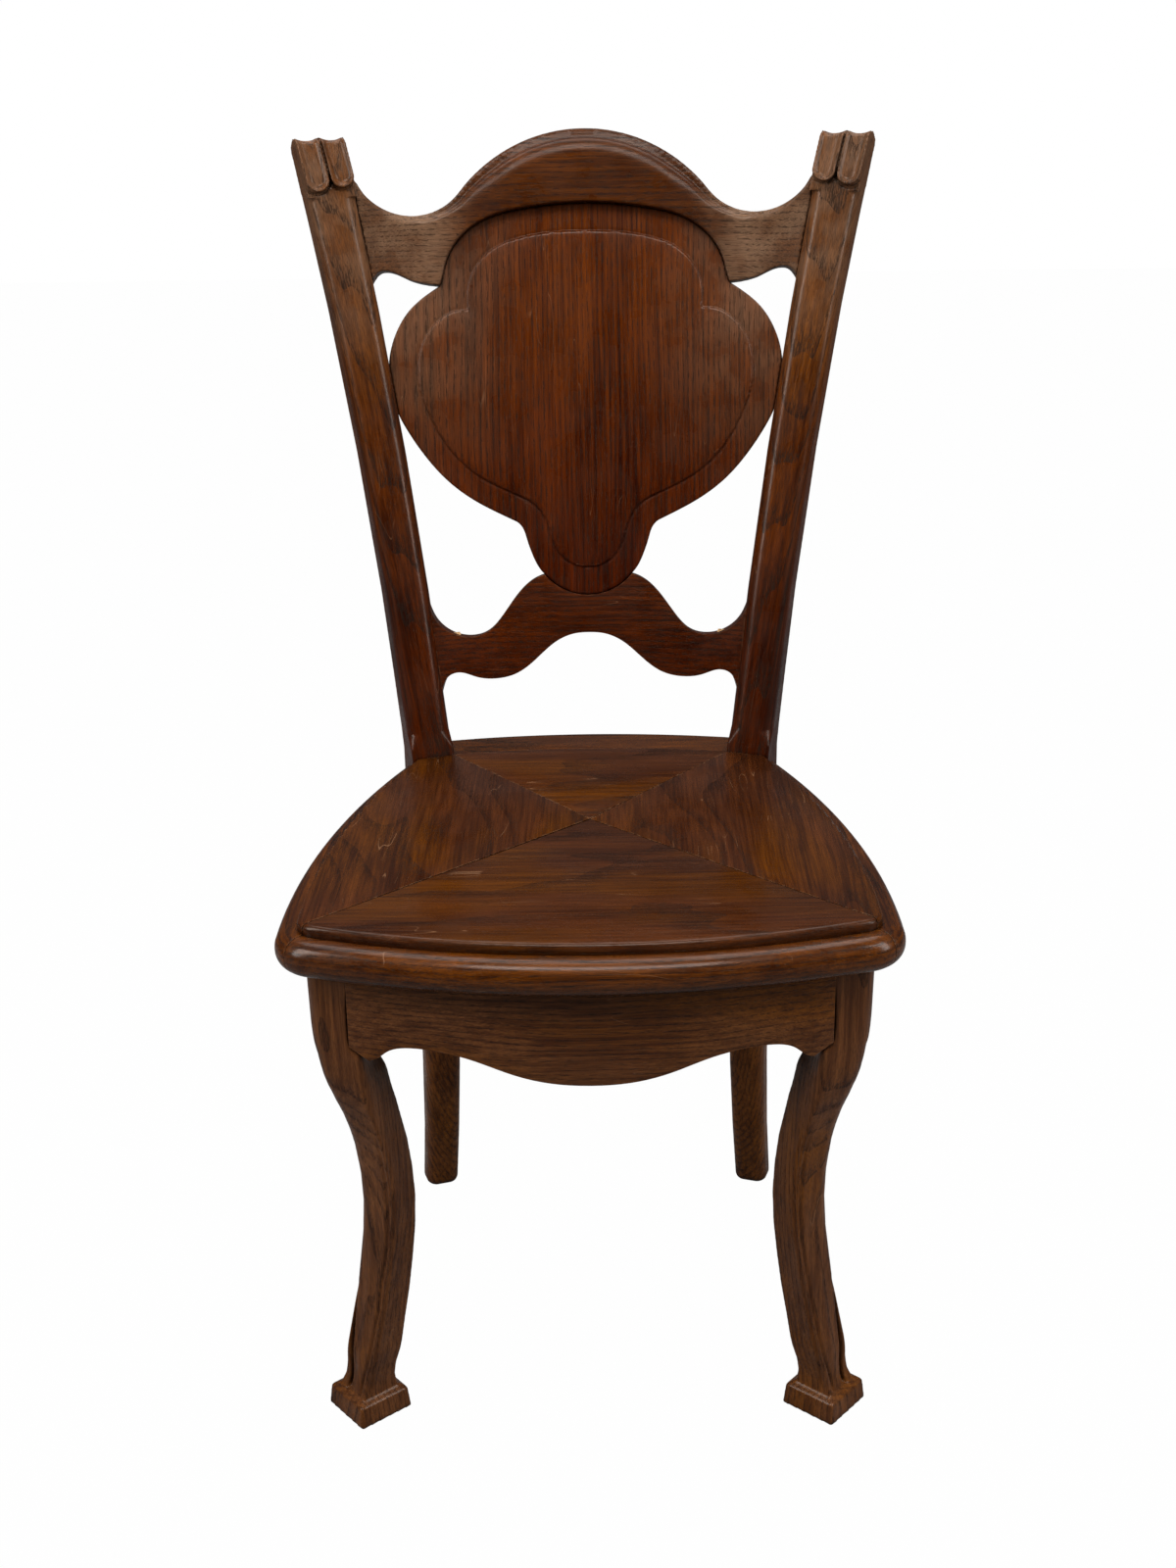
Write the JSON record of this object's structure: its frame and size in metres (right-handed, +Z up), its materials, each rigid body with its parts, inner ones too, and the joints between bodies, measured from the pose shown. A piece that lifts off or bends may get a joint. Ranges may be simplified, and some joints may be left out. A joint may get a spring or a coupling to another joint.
{
  "type": "dining chair",
  "caption": "Balloon back dining chair with carved scroll-topped posts, shaped raised panel, mitred wooden seat board in a rounded frame and turned-out front legs",
  "frame": {"origin": "on the floor, under the middle of the chair's bounding box", "axes": "+Z up; +Y from the front of the seat to the back; +X to the right of someone who looks at the chair from the front"},
  "size_m": [0.4798, 0.5408, 0.9547],
  "materials": {
    "beech": "unfinished turned dowel rod",
    "screw_steel": "plain countersunk wood screw",
    "block_wood": "rough sawn hardwood, unpolished",
    "spline_wood": "planed oak, unpolished",
    "seat_oak": "stained oak, satin varnish, worn at the edges",
    "panel_oak": "reddish stained oak, satin varnish",
    "leg_oak": "stained oak, dull varnish worn thin",
    "apron_oak": "stained oak, satin varnish",
    "frame_oak": "stained oak, satin varnish, dented nose",
    "post_oak": "stained oak, satin varnish",
    "rail_oak": "stained oak, satin varnish"
  },
  "bodies": {
    "root": {"back_panel": "panel_oak", "corner_block_front_left": "block_wood", "corner_block_front_right": "block_wood", "corner_block_rear_left": "block_wood", "corner_block_rear_right": "block_wood", "corner_block_screws": "screw_steel", "crest_dowels": "beech", "crest_rail": "rail_oak", "front_apron": "apron_oak", "front_apron_dowels": "beech", "front_leg_left": "leg_oak", "front_leg_right": "leg_oak", "lower_back_rail": "rail_oak", "lower_rail_dowels": "beech", "mitre_splines": "spline_wood", "panel_dowels": "beech", "rear_apron": "apron_oak", "rear_apron_dowels": "beech", "rear_post_left": "post_oak", "rear_post_right": "post_oak", "seat_board_front": "seat_oak", "seat_board_left": "seat_oak", "seat_board_rear": "seat_oak", "seat_board_right": "seat_oak", "seat_frame_front": "frame_oak", "seat_frame_left": "frame_oak", "seat_frame_rear": "frame_oak", "seat_frame_right": "frame_oak", "seat_frame_screws": "screw_steel", "side_apron_dowels": "beech", "side_apron_left": "apron_oak", "side_apron_right": "apron_oak"}
  },
  "joints": []
}
